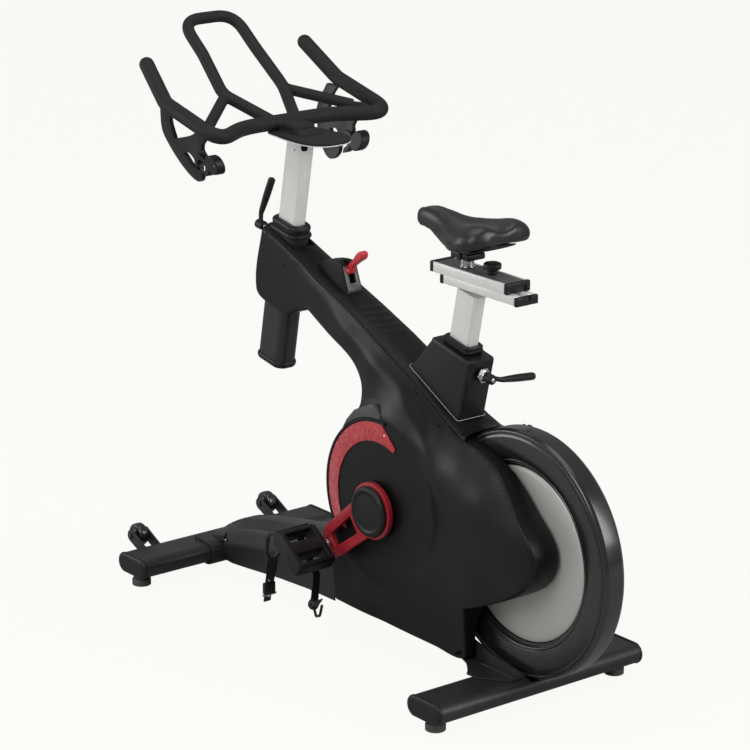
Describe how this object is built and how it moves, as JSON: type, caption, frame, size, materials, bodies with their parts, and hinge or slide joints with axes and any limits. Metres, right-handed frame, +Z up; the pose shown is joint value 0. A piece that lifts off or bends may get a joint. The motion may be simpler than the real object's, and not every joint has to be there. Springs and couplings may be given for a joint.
{
  "type": "indoor spin bike",
  "caption": "Upright indoor spin bike with rear flywheel, side shells, sliding saddle and handlebar posts, crank with caged pedals, levelling feet and transport wheels.",
  "frame": {"origin": "on the floor under the centre of the bounding box, on the bike's middle plane", "axes": "+X towards the handlebar, +Y to the rider's left, +Z up; the feet rest on z = 0"},
  "size_m": [1.3436, 0.52, 1.1948],
  "materials": {
    "shell_black": "satin moulded",
    "frame_paint": "satin powder coat",
    "moulded_black": "fine textured",
    "housing_grey": "satin",
    "machined_steel": "machined",
    "arm_red": "satin paint",
    "belt_rubber": "ribbed",
    "foot_metal": "matte",
    "wheel_black": "gloss black over metal",
    "post_aluminium": "satin anodised",
    "grip_black": "rubber-coated tube",
    "saddle_cover": "smooth synthetic leather",
    "disc_silver": "satin silver"
  },
  "bodies": {
    "frame": {"main_frame": "frame_paint", "bottom_bracket_cartridge": "machined_steel", "flywheel_bearing_left": "machined_steel", "flywheel_bearing_right": "machined_steel", "head_tube": "frame_paint", "head_tube_end_cap": "moulded_black", "head_collar": "moulded_black", "left_shell": "shell_black", "right_shell": "shell_black", "spine_cover": "shell_black", "seat_sleeve_cover": "moulded_black", "seat_collar": "moulded_black", "front_base_cover": "moulded_black", "belt_cover_trim_left": "arm_red", "belt_cover_trim_right": "arm_red", "drive_belt": "belt_rubber", "resistance_lever_housing": "housing_grey", "front_stabiliser": "frame_paint", "rear_stabiliser": "frame_paint", "end_cap_front_left": "moulded_black", "end_cap_front_right": "moulded_black", "end_cap_rear_left": "moulded_black", "end_cap_rear_right": "moulded_black"},
    "foot_front_left": {"foot_front_left": "foot_metal"},
    "foot_front_right": {"foot_front_right": "foot_metal"},
    "foot_rear_left": {"foot_rear_left": "foot_metal"},
    "foot_rear_right": {"foot_rear_right": "foot_metal"},
    "transport_wheel_left": {"transport_wheel_left": "wheel_black"},
    "transport_wheel_right": {"transport_wheel_right": "wheel_black"},
    "handlebar_post": {"handlebar_post": "post_aluminium", "handlebar": "grip_black", "bottle_holder_left": "moulded_black", "bottle_holder_right": "moulded_black"},
    "handlebar_clamp_lever": {"handlebar_clamp_lever": "moulded_black"},
    "seat_post": {"seat_post": "post_aluminium", "seat_rail": "post_aluminium", "seat_rail_front_cap": "moulded_black", "seat_rail_rear_cap": "moulded_black"},
    "seat_carriage": {"seat_carriage": "post_aluminium", "carriage_front_cap": "moulded_black", "carriage_rear_cap": "moulded_black", "saddle_clamp": "machined_steel", "saddle": "saddle_cover"},
    "seat_slide_knob": {"seat_slide_knob": "moulded_black"},
    "seat_clamp_lever": {"seat_clamp_lever": "moulded_black"},
    "crank": {"crank_spindle": "machined_steel", "crank_arm_left": "arm_red", "crank_arm_right": "arm_red", "crank_cap_left": "moulded_black", "crank_cap_right": "moulded_black"},
    "pedal_left": {"pedal_left": "moulded_black", "toe_cage_left": "moulded_black"},
    "pedal_right": {"pedal_right": "moulded_black", "toe_cage_right": "moulded_black"},
    "flywheel": {"flywheel": "wheel_black", "flywheel_disc_left": "disc_silver", "flywheel_disc_right": "disc_silver", "flywheel_axle": "machined_steel"},
    "resistance_lever": {"resistance_lever": "arm_red"},
    "brake_caliper": {"brake_caliper": "housing_grey"}
  },
  "joints": [
    {"name": "foot_front_left_level", "type": "slide", "parent": "frame", "child": "foot_front_left", "axis": [0, 0, -1], "range_m": [0, 0.012]},
    {"name": "foot_front_right_level", "type": "slide", "parent": "frame", "child": "foot_front_right", "axis": [0, 0, -1], "range_m": [0, 0.012]},
    {"name": "foot_rear_left_level", "type": "slide", "parent": "frame", "child": "foot_rear_left", "axis": [0, 0, -1], "range_m": [0, 0.012]},
    {"name": "foot_rear_right_level", "type": "slide", "parent": "frame", "child": "foot_rear_right", "axis": [0, 0, -1], "range_m": [0, 0.012]},
    {"name": "transport_wheel_left_spin", "type": "hinge", "parent": "frame", "child": "transport_wheel_left", "pos_m": [0.64725, 0.171, 0.0735], "axis": [0, 1, 0], "continuous": true},
    {"name": "transport_wheel_right_spin", "type": "hinge", "parent": "frame", "child": "transport_wheel_right", "pos_m": [0.64725, -0.171, 0.0735], "axis": [0, 1, 0], "continuous": true},
    {"name": "handlebar_height", "type": "slide", "parent": "frame", "child": "handlebar_post", "axis": [-0.1772, 0, 0.9842], "range_m": [-0.07, 0.1]},
    {"name": "handlebar_clamp_turn", "type": "hinge", "parent": "frame", "child": "handlebar_clamp_lever", "pos_m": [0.39525, 0, 0.776], "axis": [1, 0, 0], "range_deg": [-30, 30]},
    {"name": "seat_height", "type": "slide", "parent": "frame", "child": "seat_post", "axis": [-0.208, 0, 0.9781], "range_m": [-0.035, 0.12]},
    {"name": "seat_fore_aft", "type": "slide", "parent": "seat_post", "child": "seat_carriage", "axis": [1, 0, 0], "range_m": [-0.02, 0.03]},
    {"name": "seat_slide_knob_turn", "type": "hinge", "parent": "seat_carriage", "child": "seat_slide_knob", "pos_m": [-0.30775, 0, 0.8265], "axis": [0, 0, 1], "range_deg": [-180, 180]},
    {"name": "seat_clamp_turn", "type": "hinge", "parent": "frame", "child": "seat_clamp_lever", "pos_m": [-0.28029, 0, 0.622], "axis": [1, 0, 0], "range_deg": [-60, 60]},
    {"name": "crank_spin", "type": "hinge", "parent": "frame", "child": "crank", "pos_m": [-0.07475, 0, 0.312], "axis": [0, 1, 0], "continuous": true},
    {"name": "pedal_left_spin", "type": "hinge", "parent": "crank", "child": "pedal_left", "pos_m": [0.05903, 0.16, 0.2071], "axis": [0, 1, 0], "continuous": true},
    {"name": "pedal_right_spin", "type": "hinge", "parent": "crank", "child": "pedal_right", "pos_m": [-0.20853, -0.16, 0.4169], "axis": [0, 1, 0], "continuous": true},
    {"name": "flywheel_spin", "type": "hinge", "parent": "frame", "child": "flywheel", "pos_m": [-0.42675, 0, 0.304], "axis": [0, 1, 0], "continuous": true},
    {"name": "resistance_lever_tilt", "type": "hinge", "parent": "frame", "child": "resistance_lever", "pos_m": [0.12825, 0, 0.742], "axis": [0, 1, 0], "range_deg": [-18, 18]},
    {"name": "brake_caliper_tilt", "type": "hinge", "parent": "frame", "child": "brake_caliper", "pos_m": [-0.14275, 0, 0.2125], "axis": [0, 1, 0], "range_deg": [-6, 6]}
  ],
  "couplings": [
    {"joint": "flywheel_spin", "follows": "crank_spin", "ratio": 3.5},
    {"joint": "brake_caliper_tilt", "follows": "resistance_lever_tilt", "ratio": 0.3}
  ]
}
